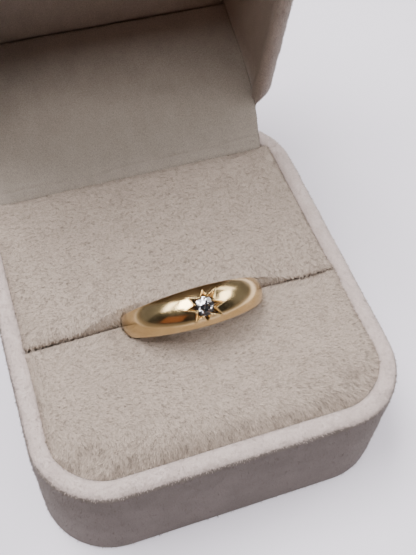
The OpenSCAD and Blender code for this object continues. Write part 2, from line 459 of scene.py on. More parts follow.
def cover(name, top, wall, height):
    """The base's velvet: light over the rim down to the given height and darker below, where its pile hangs
    down; the light rim is painted light and the dark wall painted shade on one velvet. The border between
    them is ragged by a fine noise."""
    mat, tree, shader = material(name)
    pile = noise(tree, 0.16 * MM, (1, 1, 2.2), detail=4.0, roughness=0.7)
    ragged = tree.nodes.new("ShaderNodeMath")
    ragged.operation = "MULTIPLY_ADD"
    ragged.inputs[1].default_value = 0.5 * MM
    tree.links.new(pile, ragged.inputs[0])
    tree.links.new(object_height(tree), ragged.inputs[2])
    border = ranged(tree, ragged.outputs["Value"], height, height + 0.25 * MM)
    grain = ramp(tree, pile, [(0.33, (0.84, 0.84, 0.84)), (0.62, (1.0, 1.0, 1.0))])
    wide = noise(tree, 3.4 * MM, detail=4.0)
    brushed = ramp(tree, wide, [(0.32, (0.90, 0.895, 0.89)), (0.66, (1.05, 1.05, 1.05))])
    # Painted light and shade: the rim's light colour above the border, the wall's dark one below it.
    tone = times(tree, mixed(tree, border, wall, top), grain)
    tree.links.new(times(tree, tone, brushed), shader.inputs["Base Color"])
    tree.links.new(bumped(tree, pile, 0.7, 0.12 * MM), shader.inputs["Normal"])
    matt(shader, 0.06)
    return mat


def pile_material(name, colour, deep=0.45):
    """Fibres: a little deeper at the root than at the tip, a painted shade down among the fibres, in soft
    patches.
    """
    mat, tree, shader = material(name)
    root = [c * deep for c in colour]
    tip = [c * 1.12 for c in colour]
    # Painted shade: the root's colour is deep times the fibre's own.
    along = ramp(tree, marked(tree, "tip"), [(0.0, root), (0.45, colour), (1.0, tip)])
    wide = noise(tree, 3.2 * MM, detail=3.0)
    patches = ramp(tree, wide, [(0.32, (0.90, 0.89, 0.88)), (0.66, (1.05, 1.05, 1.05))])
    fine = noise(tree, 0.4 * MM, detail=2.0)
    locks = ramp(tree, fine, [(0.35, (0.84, 0.83, 0.82)), (0.62, (1.04, 1.04, 1.04))])
    tree.links.new(times(tree, along, times(tree, patches, locks)), shader.inputs["Base Color"])
    matt(shader, 0.04)
    return mat


def painted_light_with_height(mat, low, high, most):
    """Paints light into a material with height, from as it is at the low height to most times as light at the
    high one: painted light that makes up for the shade that the open lid casts on the flap."""
    tree = mat.node_tree
    base = tree.nodes["Principled BSDF"].inputs["Base Color"]
    painted_light_share = ranged(tree, object_height(tree), low, high)
    more = ramp(tree, painted_light_share, [(0.0, (1, 1, 1)), (1.0, (most, most, most))])
    tree.links.new(times(tree, base.links[0].from_socket, more), base)


def gold():
    """Polished yellow gold, softened by wear and fine scratches, and dull and dark in the star's cuts."""
    mat, tree, shader = material("yellow_gold")
    wear = noise(tree, 1.6 * MM, detail=5.0, roughness=0.65)
    scratches = noise(tree, 0.05 * MM, (14, 1, 1), (0, 0, 0.25), 2.0)
    tone = ramp(tree, wear, [(0.30, (0.68, 0.495, 0.245)), (0.70, (0.78, 0.585, 0.31))])
    tree.links.new(mixed(tree, marked(tree, "cut"), tone, (0.16, 0.10, 0.05)), shader.inputs["Base Color"])
    tree.links.new(ranged(tree, wear, 0.3, 0.7, 0.14, 0.25), shader.inputs["Roughness"])
    dents = bumped(tree, noise(tree, 0.5 * MM, detail=3.0), 0.12, 0.03 * MM)
    tree.links.new(bumped(tree, scratches, 0.16, 0.004 * MM, dents), shader.inputs["Normal"])
    given(shader, {"Metallic": 1.0})
    return mat


def steel():
    """Plain drawn steel."""
    mat, tree, shader = material("hinge_steel")
    drawn = noise(tree, 0.06 * MM, (30, 1, 1), detail=2.0)
    tree.links.new(ramp(tree, drawn, [(0.3, (0.45, 0.45, 0.46)), (0.7, (0.62, 0.62, 0.63))]),
                   shader.inputs["Base Color"])
    tree.links.new(bumped(tree, drawn, 0.2, 0.01 * MM), shader.inputs["Normal"])
    given(shader, {"Metallic": 1.0, "Roughness": 0.35})
    return mat


def brilliant():
    """Clear cut stone."""
    mat, tree, shader = material("clear_stone")
    cloud = noise(tree, 1.0 * MM, detail=1.0)
    tree.links.new(ramp(tree, cloud, [(0.2, (0.93, 0.92, 1.0)), (0.8, (1.0, 0.96, 1.0))]),
                   shader.inputs["Base Color"])
    given(shader, {"Roughness": 0.0, "IOR": 2.42, "Transmission Weight": 1.0})
    return mat


# Places of the lid and the ring

def turned(points, angle):
    """Points turned about the hinge by an angle."""
    c = math.cos(angle)
    s = math.sin(angle)
    p = np.array(points, float) - HINGE_AT
    y = p[..., 1] * c - p[..., 2] * s
    z = p[..., 1] * s + p[..., 2] * c
    return np.stack([p[..., 0], y, z], -1) + HINGE_AT


def opened(points):
    """Points of the shut lid where the open lid holds them."""
    return turned(points, -LID_OPEN)


def ring_matrix():
    """Turns the ring's own frame, stone on +Z and width on Y, into the box's frame, as the solid stands."""
    r = settings().ring
    p = settings().pad
    at = Vector((0.7 * MM, -p.slot - 0.65 * MM, BASE_H + 0.7 * MM))
    lean = Matrix.Rotation(r.yaw, 4, "Z") @ Matrix.Rotation(r.lean, 4, "X")
    return np.array(Matrix.Translation(at) @ lean @ Matrix.Rotation(-r.turn, 4, "Y"))


def to_box(points, matrix):
    return points @ matrix[:3, :3].T + matrix[:3, 3]


def to_ring(points, matrix):
    return (points - matrix[:3, 3]) @ matrix[:3, :3]


def half_width(z):
    """Half the band's width at height z in the ring's frame: an arc, least at the back, widest at the
    head."""
    r = settings().ring
    waist_z = -8.1 * MM
    bend = (r.outside - waist_z) ** 2 / (r.head - r.back)
    return r.back / 2 + bend - np.sqrt(bend ** 2 - (z - waist_z) ** 2)


# Surfaces

def tray_rows(height, bottom, wall, thin, rear):
    """Rows of a covered tray, from its floor's middle out, up the inner wall, over the rounded rim, down the
    outer wall and under: the box's outline moved inwards by each step's inset, at each step's height. The
    wall thins below its rim, and rear is the radius of the two rear corners."""
    b = settings().box
    line, normal = walk(plan(0, b.corner, rear), COVER_COLUMNS)
    shoulder = height - b.rim
    up = np.linspace(bottom, shoulder, 16)
    deep = wall + (thin - wall) * eased((shoulder - up) / (3 * MM))
    over_in = arc(0, 90, 9)
    over_out = arc(90, 180, 9)
    down = np.linspace(shoulder, b.foot, 26)
    under = arc(180, 270, 7)
    inset = np.concatenate([
        deep, wall - b.rim + b.rim * np.cos(over_in), b.rim + b.rim * np.cos(over_out),
        np.zeros(26), b.foot + b.foot * np.cos(under)])
    z = np.concatenate([
        up, shoulder + b.rim * np.sin(over_in), shoulder + b.rim * np.sin(over_out),
        down, b.foot + b.foot * np.sin(under)])
    keep = np.concatenate([[True], np.hypot(np.diff(inset), np.diff(z)) > 1e-6])
    rows = hoops(line, normal, inset[keep], z[keep])
    share = np.array([0.35, 0.7])[:, None, None]
    inside = share * rows[0] + (1 - share) * [0, 0, bottom]
    return np.concatenate([inside, rows, share[::-1] * rows[-1]])


def lapped(rows):
    """Raises the rim along the seams where its strip laps over itself, as a thin ridge in the plan."""
    for start, end, high in LAPS:
        a = np.array(start) * MM
        run = np.array(end) * MM - a
        off = rows[..., :2] - a
        along = np.clip(off @ run / (run @ run), 0, 1)
        far = np.linalg.norm(off - along[..., None] * run, axis=-1)
        ridge = high * MM * bell(far, 0.30 * MM)
        rows[..., 2] += ridge * eased((rows[..., 2] - BASE_H + 1.2 * MM) / (0.6 * MM))
    return rows


def cover_wear(rows, height, seed):
    """Unevenness of a glued velvet cover: soft lumps, more of them along the rim."""
    rim = np.clip(1 - np.abs(rows[..., 2] - height) / (2.5 * MM), 0, 1)
    lift = 0.05 * MM * lumps(rows, 3.5 * MM, seed) + rim * 0.07 * MM * lumps(rows, 1.6 * MM, seed + 1)
    centre = np.array([0, 0, height * 0.5])
    away = (rows - centre) * [1 / BOX_W, 1 / BOX_D, 1 / height]
    away /= np.linalg.norm(away, axis=-1, keepdims=True) + 1e-9
    edge = (rows[..., 2] > 0.4 * MM)[..., None]
    return rows + away * lift[..., None] * edge


def pad_rows(corners, slot_y, crease_y, top, bottom, lip, count):
    """Rows of a pad from the middle of its top out, over its rounded edge and down its side. The rounding is
    wide along the rim, small along the slot and least along the crease, as an ellipse that is wider than
    high, and the side at the slot leans with the ring."""
    p = settings().pad
    r = settings().ring
    line, normal = walk(corners, count)
    at_slot = eased(np.abs(line[:, 1] - slot_y) / (4.5 * MM))
    at_crease = eased(np.abs(line[:, 1] - crease_y) / (4.5 * MM))
    outer = p.side + (p.edge - p.side) * eased((-normal[:, 1] - 0.2) / 0.7)
    wide = lip + (outer - lip) * at_slot
    wide = 0.3 * MM + (wide - 0.3 * MM) * at_crease
    drop = np.minimum(wide, 0.4 * MM + 0.35 * wide)
    core = line - normal * wide[:, None]
    middle = core.mean(0)
    share = np.linspace(0.03, 1, 60)[:, None, None]
    lid = middle + (core - middle) * share
    lid = np.concatenate([lid, np.full((*lid.shape[:2], 1), top)], -1)
    angle = arc(0, 90, 14)[1:, None]
    rim = core + normal * (wide * np.sin(angle))[..., None]
    rim = np.concatenate([rim, (top - drop * (1 - np.cos(angle)))[..., None]], -1)
    down = np.linspace(0, 1, 20)[1:, None]
    side_z = (top - drop) + (bottom - top + drop) * down
    side = np.concatenate([np.broadcast_to(line, (19, *line.shape)), side_z[..., None]], -1)
    under = np.array([0.6, 0.2])[:, None, None] * (side[-1] - [*middle, bottom]) + [*middle, bottom]
    rows = np.concatenate([lid, rim, side, under])
    slant = (top - rows[..., 2]) * math.tan(r.lean)
    near = 1 - eased(np.abs(line[:, 1] - slot_y) / (7 * MM))
    rows[..., 1] += slant * near
    return rows


def stuffed(name, rows):
    """The pad filled with foam: its shape, ten times as large, is remeshed, blown up as cloth with its lower
    part held, and brought back to size, no point further than the cap from its start."""
    source = capped(name, rows * FOAM_SCALE)
    remesh = source.modifiers.new("Remesh", "REMESH")
    remesh.mode = "VOXEL"
    remesh.voxel_size = 0.75 * MM * FOAM_SCALE
    remesh.use_smooth_shade = True
    skin = applied(source)
    count = len(skin.data.vertices)
    start = np.empty(count * 3, np.float32)
    skin.data.vertices.foreach_get("co", start)
    start = start.reshape(-1, 3).astype(float)
    held = skin.vertex_groups.new(name="held")
    height = (rows[..., 2].max() * FOAM_SCALE - start[:, 2]) / (FOAM_SCALE * MM)
    for weight, low, high in ((1.0, 5.5, 99.0), (0.5, 4.5, 5.5)):
        held.add(np.flatnonzero((height > low) & (height <= high)).tolist(), weight, "REPLACE")
    cloth = skin.modifiers.new("Cloth", "CLOTH")
    cloth.settings.quality = 5
    cloth.settings.use_pressure = True
    cloth.settings.uniform_pressure_force = 4.0
    cloth.settings.effector_weights.gravity = 0.0
    cloth.settings.vertex_group_mass = "held"
    cloth.settings.tension_stiffness = 40
    cloth.settings.compression_stiffness = 40
    cloth.settings.bending_stiffness = 5
    cloth.point_cache.frame_start = 1
    cloth.point_cache.frame_end = 20
    for step in range(1, 21):
        bpy.context.scene.frame_set(step)
    swollen = applied(skin)
    end = np.empty(count * 3, np.float32)
    swollen.data.vertices.foreach_get("co", end)
    move = end.reshape(-1, 3).astype(float) - start
    far = np.linalg.norm(move, axis=1, keepdims=True)
    cap = 0.45 * MM * FOAM_SCALE
    print("foam", name, count, "moved mm", round(float(far.max() / FOAM_SCALE / MM), 3))
    kept = start + move * np.minimum(1, cap / np.maximum(far, 1e-9))
    swollen.data.vertices.foreach_set("co", (kept / FOAM_SCALE).astype(np.float32).ravel())
    finer = swollen.modifiers.new("Subdivision", "SUBSURF")
    finer.levels = 1
    finer.render_levels = 1
    return applied(swollen)


def applied(obj):
    """The object with its modifiers worked into a new mesh."""
    context = bpy.context
    mesh = bpy.data.meshes.new_from_object(obj.evaluated_get(context.evaluated_depsgraph_get()))
    name = obj.name
    bpy.data.objects.remove(obj)
    mesh.name = name
    fresh = bpy.data.objects.new(name, mesh)
    context.scene.collection.objects.link(fresh)
    context.view_layer.update()
    return fresh


def vertices_of(obj):
    points = np.empty(len(obj.data.vertices) * 3, np.float32)
    obj.data.vertices.foreach_get("co", points)
    return points.reshape(-1, 3).astype(float)


def triangles_of(obj):
    obj.data.calc_loop_triangles()
    tri = np.empty(len(obj.data.loop_triangles) * 3, np.int32)
    obj.data.loop_triangles.foreach_get("vertices", tri)
    return tri.reshape(-1, 3)


def move_vertices(obj, points):
    obj.data.vertices.foreach_set("co", points.astype(np.float32).ravel())
    obj.data.update()


def band_half(q):
    """Half the room that the band takes up across its width at each point in the ring's frame: the lesser of
    its flat width and its domed outside's arc, with a little play."""
    r = settings().ring
    reach = np.hypot(q[..., 0], q[..., 2])
    flat = half_width(np.clip(q[..., 2], -r.outside, 1.5 * MM)) + 0.12 * MM
    domed = (r.dome + 0.15 * MM) ** 2 - np.maximum(reach - (r.outside - r.dome), 0) ** 2
    inner = np.maximum(r.finger - 0.6 * MM - reach, 0)
    return np.minimum(flat, np.sqrt(np.clip(domed, 0, None))) * bell(inner, 0.8 * MM)


def pressed_front(q):
    """Front pad round the ring, in the ring's frame: the wall gives way by half the band's width."""
    goal = -band_half(q)
    q[..., 1] = np.where(q[..., 1] > goal, goal, q[..., 1])
    return q


def pressed_rear(q, depth):
    """Rear pad round the ring, in the ring's frame: the lip stands back from the slot by a gap that is widest
    at the band's ends and closes further along and with depth, and the pad's top eases back behind it."""
    p = settings().pad
    out = np.abs(q[..., 0] - 0.3 * MM) / MM
    left = np.tanh(q[..., 0] / (5 * MM))
    wide = (2.1 - 0.4 * left) * MM * (1 - eased((out - 8.5) / (10.0 - left)))
    left_over = np.clip(1 - depth / p.opening, 0, 1)
    gap = wide * (1 - np.sqrt(1 - left_over ** 2))
    goal = np.maximum(gap, band_half(q))
    q[..., 1] = np.maximum(q[..., 1], 0)
    behind = q[..., 1]
    length = np.maximum(1.6 * goal, 0.2 * MM)
    q[..., 1] = q[..., 1] + goal * np.exp(-behind / length)
    q[..., 2] -= 0.28 * wide * np.exp(-behind / (2.2 * MM)) * np.clip(1 - depth / (2 * MM), 0, 1)
    return q


def pad_shape(points, top, seed):
    """Crown of a stuffed pad, the soft hollows of its foam, and its upper edge pressed out over the rim's
    inner rounding."""
    half = (PAD_HIGH.x - PAD_LOW.x) / 2
    bulge = np.clip(1 - (points[..., 0] / half) ** 2, 0, 1)
    lift = settings().pad.crown * bulge + 0.08 * MM * lumps(points, 5 * MM, seed)
    lift += 0.04 * MM * lumps(points, 1.5 * MM, seed + 1)
    points[..., 2] += lift * np.clip(1 - (top - points[..., 2]) / (3 * MM), 0, 1)
    high = eased((points[..., 2] - BASE_H + 3.2 * MM) / (1.2 * MM))
    points[..., 0] *= 1 + 0.024 * high * eased((np.abs(points[..., 0]) - 18 * MM) / (4 * MM))
    points[..., 1] *= 1 + 0.030 * high * eased((-points[..., 1] - 19 * MM) / (5 * MM))
    return points


def normals_of(points, tri):
    """Vertex normals: the sum of the normals of the triangles round each vertex."""
    face = np.cross(points[tri[:, 1]] - points[tri[:, 0]], points[tri[:, 2]] - points[tri[:, 0]])
    total = np.zeros_like(points)
    for k in range(3):
        np.add.at(total, tri[:, k], face)
    return total / (np.linalg.norm(total, axis=1, keepdims=True) + 1e-20)


def scatter(obj, wanted, count, seed):
    """Points spread evenly over a piece where wanted is above 0, thinned by it, and their normals."""
    rng = np.random.default_rng(seed)
    points = vertices_of(obj)
    tri = triangles_of(obj)
    normal = normals_of(points, tri)
    a, b, c = (points[tri[:, k]] for k in range(3))
    area = np.linalg.norm(np.cross(b - a, c - a), axis=1) * wanted(points, normal)[tri].mean(1)
    total = np.cumsum(area)
    pick = tri[np.minimum(np.searchsorted(total, rng.uniform(0, total[-1], count)), len(tri) - 1)]
    u = np.sqrt(rng.uniform(0, 1, (count, 1)))
    v = rng.uniform(0, 1, (count, 1))
    weights = (1 - u, u * (1 - v), u * v)
    at = sum(w * points[pick[:, k]] for k, w in enumerate(weights))
    up = sum(w * normal[pick[:, k]] for k, w in enumerate(weights))
    return at, up / np.linalg.norm(up, axis=1, keepdims=True), rng


def combed(at, lay, swirl, seed):
    """The pile's lay at each point, turned about Z by noise so that it lies in soft locks."""
    turn = swirl * (lumps(at, 5.5 * MM, seed) + 0.4 * lumps(at, 1.8 * MM, seed + 1))
    lay = np.broadcast_to(np.asarray(lay, float), at.shape)
    c = np.cos(turn)
    s = np.sin(turn)
    return np.stack([lay[:, 0] * c - lay[:, 1] * s, lay[:, 0] * s + lay[:, 1] * c, lay[:, 2]], 1)


def pile(name, at, up, lay, length, width, lean, rng, stray=0.14):
    """Velvet fibres: slim closed spikes with a three sided root, leaning along the lay. Their normals are
    near the cloth's own and tilt with soft locks, so the pile shades softly, and the attribute tip rises from
    each root, held low there as painted shade among the fibres, to a random tone at the tip."""
    n = len(at)
    lay = lay + rng.normal(0, stray, at.shape)
    along = lay - up * np.sum(lay * up, 1, keepdims=True)
    along /= np.linalg.norm(along, axis=1, keepdims=True) + 1e-12
    side = np.cross(up, along)
    tilt = lean + rng.normal(0, 0.16, (n, 1))
    size = length * rng.uniform(0.65, 1.2, (n, 1))
    heading = up * np.cos(tilt) + along * np.sin(tilt)
    root = at - up * 0.12 * MM
    tip = at + heading * size
    corner = []
    for k in range(3):
        turn = 2 * math.pi * k / 3 + 0.5
        corner.append(root + width * 0.5 * (along * math.cos(turn) + side * math.sin(turn)))
    points = np.stack([*corner, tip], 1).reshape(-1, 3)
    first = 4 * np.arange(n)[:, None, None]
    spike = np.array([[0, 2, 1], [0, 1, 3], [1, 2, 3], [2, 0, 3]])
    obj = put_mesh(name, points, triangles=(first + spike).reshape(-1, 3))
    lock = np.stack([lumps(at, 0.6 * MM, 81), lumps(at, 0.6 * MM, 82), np.zeros(n)], 1)
    facing = up + 0.22 * rng.normal(0, 1, at.shape) + 0.60 * lock
    facing /= np.linalg.norm(facing, axis=1, keepdims=True)
    obj.data.normals_split_custom_set_from_vertices(np.repeat(facing, 4, axis=0))
    # Painted shade: each fibre's root gets 0.3 of its tip's random tone.
    mark_points(obj, "tip", rng.uniform(0.1, 1, (n, 1)) * [0.3, 0.3, 0.3, 1])
    return obj


def mark_points(obj, name, values):
    """Gives a mesh an attribute with a value for each point."""
    mark = obj.data.attributes.new(name, "FLOAT", "POINT")
    mark.data.foreach_set("value", values.astype(np.float32).ravel())


def flap_line():
    """The flap's top line in (y, z): where it starts, its heading, the direction off its face, its length."""
    start = np.array([FLAP_LOW.y - 0.70 * MM, BASE_H + 0.12 * MM])
    end = np.array([FLAP_HIGH.y - 0.10 * MM, FLAP_HIGH.z - 0.02 * MM])
    run = end - start
    length = float(np.hypot(*run))
    heading = run / length
    return start, heading, np.array([-heading[1], heading[0]]), length


def flap_place(points):
    """Distance along the flap's top line, and above it, of each point."""
    start, heading, lift, length = flap_line()
    off = points[..., 1:] - start
    return off @ heading, off @ lift


def flap_half(s):
    """Half the flap's width at a distance from its crease: narrow at the crease, and as wide as the lid's
    hollow further in, by an exponential that levels off."""
    return 21.8 * MM + 2.55 * MM * (1 - np.exp(-(np.maximum(s, 0) / (8 * MM)) ** 1.6))


def dress(obj, mat, slot, body, *nodes):
    """Gives a piece its material, its body and the solids that it stands for. The slot is not used."""
    obj.data.materials.clear()
    obj.data.materials.append(mat)
    if body:
        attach(obj, body)
    if nodes:
        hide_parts(*nodes)
    return obj


# Operators

class RINGBOX_OT_base(bpy.types.Operator):
    """Velvet covered base of the box"""

    bl_idname = "ring_box.base"
    bl_label = "Base Cover"

    def execute(self, context):
        b = settings().box
        v = settings().velvet
        rows = tray_rows(BASE_H, b.floor, b.wall, b.wall, b.corner)
        shell = capped("base_cover", lapped(cover_wear(rows, BASE_H, 11)))
        mat = cover("velvet_cover", v.rim, v.wall, BASE_H - 0.35 * MM)
        dress(shell, mat, "velvet_cover", "base", "base_shell")

        def on_rim(points, normal):
            return eased((normal[:, 2] - 0.5) / 0.3) * (points[:, 2] > BASE_H - 1.2 * MM)

        def on_wall(points, normal):
            out = np.sum(points[:, :2] * normal[:, :2], 1) > 0
            return (out & (np.abs(normal[:, 2]) < 0.6) & (points[:, 2] > 0.5 * MM)).astype(float)

        at, up, rng = scatter(shell, on_rim, 26000, 21)
        out = np.stack([at[:, 0] / BOX_W, at[:, 1] / BOX_D, at[:, 2] * 0], 1)
        lay = combed(at, (0, -0.5, 0), 0.5, 23) + 3.0 * out
        fibres = pile("base_rim_pile", at, up, lay, 0.38 * MM, 0.15 * MM, 1.15, rng, 0.3)
        # Painted light on the rim's pile, from the rim's light colour.
        dress(fibres, pile_material("rim_pile", v.rim, 0.92), "velvet_cover", "base")
        at, up, rng = scatter(shell, on_wall, 20000, 22)
        fibres = pile("base_wall_pile", at, up, np.array([0, 0, -1.0]), 0.5 * MM, 0.15 * MM, 1.25, rng)
        # Painted shade on the wall's pile, from the wall's dark colour.
        dress(fibres, pile_material("wall_pile", v.wall, 0.85), "velvet_cover", "base")
        return {"FINISHED"}


class RINGBOX_OT_pads(bpy.types.Operator):
    """Front and rear plush pads with their pile"""

    bl_idname = "ring_box.pads"
    bl_label = "Pads"

    def execute(self, context):
        b = settings().box
        p = settings().pad
        v = settings().velvet
        m = ring_matrix()
        round_out = b.corner - b.wall - 0.2 * MM
        right = PAD_HIGH.x + 0.60 * MM
        left = PAD_LOW.x - 0.60 * MM
        front = PAD_LOW.y - 0.55 * MM
        bottom = PAD_LOW.z
        middle = m[1, 3] - (p.top - m[2, 3]) * math.tan(settings().ring.lean)
        slot_front = middle + 0.55 * MM
        slot_rear = middle - 0.55 * MM
        crease = b.crease + 0.8 * MM
        soft_f, soft_r, tight = 0.7 * MM, 0.6 * MM, 0.4 * MM
        front_corners = [
            (right - round_out, front + round_out, round_out), (right - soft_f, slot_front - soft_f, soft_f),
            (left + soft_f, slot_front - soft_f, soft_f), (left + round_out, front + round_out, round_out)]
        rear_corners = [
            (right - soft_r, slot_rear + soft_r, soft_r), (right - tight, crease - tight, tight),
            (left + tight, crease - tight, tight), (left + soft_r, slot_rear + soft_r, soft_r)]
        makes = (
            ("front_pad", front_corners, slot_front, p.lip, 31),
            ("rear_pad", rear_corners, slot_rear, p.rear_lip, 41))
        plush = velvet("pad_velvet", v.pad, (1, 1.8, 1), (0, 0, 0.2))
        fur = pile_material("pad_pile", v.pad)
        for node, corners, slot_y, lip, seed in makes:
            rear = node == "rear_pad"
            rows = pad_rows(corners, slot_y, crease if rear else 1.0, p.top, bottom, lip, 400)
            pad = stuffed(node + "_cover", rows)
            points = pad_shape(vertices_of(pad), p.top, seed)
            depth = np.maximum(p.top - points[:, 2], 0)
            q = to_ring(points, m)
            q = pressed_rear(q, depth) if rear else pressed_front(q)
            move_vertices(pad, to_box(q, m))
            dress(pad, plush, "velvet_pad", "base", node)

            def on_top(points, normal):
                slot = (normal @ m[:3, 1]) * (-1 if rear else 1)
                lip = np.abs(to_ring(points, m)[:, 1])
                inside = (slot > (0.6 if rear else 0.94)) & (lip < 4 * MM)
                high = points[:, 2] > p.top - (3.2 * MM if rear else 3.8 * MM)
                return (high & ~inside).astype(float)

            at, up, rng = scatter(pad, on_top, 36000, seed + 5)
            lay, edge = self.lay(at, up, rear)
            lay = combed(at, lay, 0.35, seed + 7)
            fibres = pile(node + "_pile", at, up, lay, v.pile * (1 + 0.3 * edge), 0.17 * MM, 1.22, rng, 0.3)
            dress(fibres, fur, "velvet_pad", "base")
        return {"FINISHED"}

    def lay(self, at, up, rear):
        """The lay of the pile and how near its edge it is, from 0 to 1: brushed across the pad in its middle,
        towards the front near the slot's rear lip and the box's front, and outwards on every rounding."""
        if rear:
            edge = eased(1 - (at[:, 1:2] - REAR_LOW.y) / (6 * MM))
            across = np.array([-0.9, -0.35, 0])
        else:
            edge = eased(1 - (at[:, 1:2] - PAD_LOW.y) / (9 * MM))
            across = np.array([0.9, -0.3, 0])
        ahead = np.array([0.0, -1.0, 0]) + at * [1 / (22 * MM), 0, 0] * (0.0 if rear else 0.8)
        return across * (1 - edge) + ahead * edge + up * [1.5, 1.5, 0], edge


class RINGBOX_OT_flap(bpy.types.Operator):
    """Velvet flap from the rear pad's crease into the lid"""

    bl_idname = "ring_box.flap"
    bl_label = "Hinge Flap"

    def execute(self, context):
        v = settings().velvet
        start, heading, lift, length = flap_line()
        along = np.concatenate([np.linspace(0, 5 * MM, 56), np.linspace(5 * MM, length, 50)[1:]])
        flap = capped("hinge_flap_cover", self.grid(along)[:, ::-1])
        mat = velvet("velvet_lining", v.lining, (1, 1.6, 1))
        # Painted light: the flap's velvet grows up to 2.4 times lighter upwards, in place of light that the
        # lid keeps off.
        painted_light_with_height(mat, BASE_H + 1.5 * MM, BASE_H + 14 * MM, 2.4)
        dress(flap, mat, "velvet_lining", None, "hinge_flap")

        def on_top(points, normal):
            return (normal[:, 2] > 0.3) * eased(1.2 - (points[:, 1] - FLAP_LOW.y) / (18 * MM))

        at, up, rng = scatter(flap, on_top, 18000, 67)
        lay = combed(at, (0.2, -1.0, 0), 0.5, 68)
        fibres = pile("hinge_flap_pile", at, up, lay, 0.40 * MM, 0.15 * MM, 1.36, rng, 0.2)
        mat = pile_material("flap_pile", v.lining)
        # Painted light: the flap's pile grows lighter upwards in the same way.
        painted_light_with_height(mat, BASE_H + 1.5 * MM, BASE_H + 14 * MM, 2.4)
        dress(fibres, mat, "velvet_lining", None)
        for piece in (flap, fibres):
            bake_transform(piece)
        return {"FINISHED"}

    def grid(self, along):
        """Rows of points round the flap's section, at each distance from the crease: flat below, with rounded
        edges, and on top a dip at the crease, three soft folds beside it and the rear pad's crown."""
        start, heading, lift, length = flap_line()
        across = 90
        edge = FLAP_THICK / 2
        turn = arc(90, -90, 7)[1:-1]
        ones = np.ones(len(turn))
        share = np.linspace(-1, 1, across)
        u = np.concatenate([share, ones, share[::-1], -ones])
        out = np.concatenate([share * 0, edge * np.cos(turn), share * 0, -edge * np.cos(turn)])
        t = np.concatenate([
            np.zeros(across), -edge + edge * np.sin(turn), np.full(across, -FLAP_THICK),
            -edge - edge * np.sin(turn)])
        x = u[None] * (flap_half(along) - edge)[:, None] + out[None]
        zero = np.zeros_like(x)
        top = (t > -edge)[None]
        s = along[:, None] - 0.55 * MM * lumps(np.stack([x, zero, zero], -1), 6.5 * MM, 65)
        fold = 0.12 * MM * bell(s - 2.6 * MM, 0.40 * MM)
        fold += 0.09 * MM * bell(s - 1.5 * MM, 0.36 * MM)
        fold -= 0.06 * MM * bell(s - 2.05 * MM, 0.26 * MM)
        fold *= 0.6 + 0.4 * lumps(np.stack([x, zero, zero], -1), 4 * MM, 66)
        dip = -0.38 * MM * bell(along, 0.55 * MM)[:, None]
        crown = settings().pad.crown * (1 - (x / FLAP_HIGH.x) ** 2) * np.exp(-along / (5 * MM))[:, None]
        offset = t[None] + (fold + dip + crown) * top
        centre = start + along[:, None] * heading
        grid = np.concatenate([x[..., None], centre[:, None] + lift * offset[..., None]], -1)
        grid[..., 2] += 0.10 * MM * lumps(grid, 5 * MM, 61) * top
        return grid


class RINGBOX_OT_lid(bpy.types.Operator):
    """Velvet covered lid and the panel that lines it"""

    bl_idname = "ring_box.lid"
    bl_label = "Lid"

    def execute(self, context):
        v = settings().velvet
        # Painted light: the lid's cover, rim pile and lining all take the lid's lighter colour.
        shell = capped("lid_cover", self.shell_rows())
        dress(shell, velvet("lid_velvet", v.lid, (1, 1, 1.6)), "velvet_cover", "lid", "lid_shell")

        def on_rim(points, normal):
            shut = turned(points, LID_OPEN)
            facing = turned(normal + HINGE_AT, LID_OPEN) - HINGE_AT
            s, above = flap_place(points)
            hidden = (np.abs(points[:, 0]) < flap_half(s) + 0.3 * MM) & (above < 1.0 * MM)
            return ((shut[:, 2] < LID_MOUTH + 1.7 * MM) & (facing[:, 2] < -0.15) & ~hidden).astype(float)

        at, up, rng = scatter(shell, on_rim, 15000, 72)
        lay = combed(at, (0, -0.6, -0.4), 0.4, 73)
        fibres = pile("lid_rim_pile", at, up, lay, 0.40 * MM, 0.15 * MM, 1.3, rng, 0.2)
        dress(fibres, pile_material("lid_pile", v.lid), "velvet_cover", "lid")
        lining = capped("lid_lining", self.lining_rows())
        dress(lining, velvet("lining_velvet", v.lid, (1, 1, 1.8)), "velvet_lining", "lid", "lid_panel")
        return {"FINISHED"}

    def shell_rows(self):
        """Rows of the open lid's cover. Where the flap lies on it, it is pushed back to just below the flap,
        less and less above it, and not at all on the lid's floor."""
        b = settings().box
        rows = tray_rows(b.lid_height, b.lid_top, b.lid_wall, b.lid_thin, b.lid_rear)
        rows = cover_wear(rows, b.lid_height, 71)
        placed = opened(rows * [-1, 1, -1] + [0, 0, LID_MOUTH + b.lid_height])
        start, heading, lift, length = flap_line()
        s, above = flap_place(placed)
        below = -FLAP_THICK - 0.3 * MM
        limit = np.minimum(flap_half(s) + 0.15 * MM, BOX_W / 2 - b.lid_thin - 0.2 * MM)
        covered = (np.abs(placed[..., 0]) < limit) & (s < length + 0.2 * MM) & (above > below)
        covered &= rows[..., 2] > b.lid_top + 0.6 * MM
        share = 1 - eased((above - 2.4 * MM) / (1.2 * MM))
        placed[..., 1:] += np.where(covered, (below - above) * share, 0)[..., None] * lift
        return placed

    def lining_rows(self):
        """Rows of the open lid's lining: a panel with a small rounding round its face."""
        b = settings().box
        thick = 1.0 * MM
        soft = 0.4 * MM
        depth = b.lid_height - b.lid_top - 0.2 * MM
        gap = b.lid_thin + 0.3 * MM
        line, normal = walk(plan(gap, b.corner - gap, b.lid_rear - gap), 300)
        turn = arc(0, 90, 6)
        face = [4 * MM, 2.5 * MM, 1.2 * MM]
        inset = np.concatenate([face, soft * (1 - np.sin(turn)), [0, soft / 2, 3 * MM]])
        z = np.concatenate([np.zeros(3), -soft * (1 - np.cos(turn)), [-thick] * 3])
        shut = hoops(line, normal, inset, z) * [-1, 1, -1] + [0, 0, LID_MOUTH + depth - thick]
        return opened(shut)


